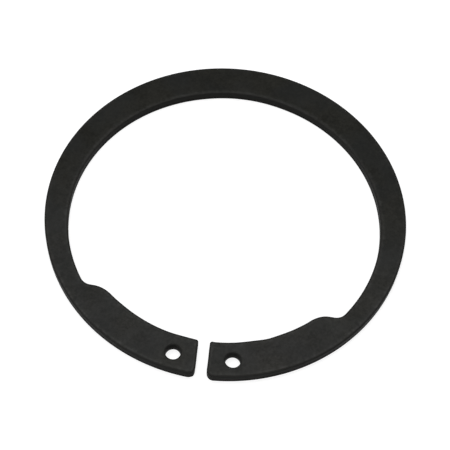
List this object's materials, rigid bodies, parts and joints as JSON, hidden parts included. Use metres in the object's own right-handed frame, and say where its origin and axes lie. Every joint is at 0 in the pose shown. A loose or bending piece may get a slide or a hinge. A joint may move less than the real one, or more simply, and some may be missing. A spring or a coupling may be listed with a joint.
{
  "type": "snap ring",
  "caption": "Inverted snap ring of blackened spring steel for the outside of a shaft: round outer edge, long inward lugs with plier holes, and a narrow end gap.",
  "frame": {"origin": "centre of the round outer edge, on the underside", "axes": "+Z along the ring's axis, with the end gap on the -Y side"},
  "size_m": [0.069, 0.0689, 0.002],
  "materials": {
    "blackened_steel": "matt black phosphate over spring steel, lightly oiled"
  },
  "bodies": {
    "root": {"snap_ring": "blackened_steel"}
  },
  "joints": []
}
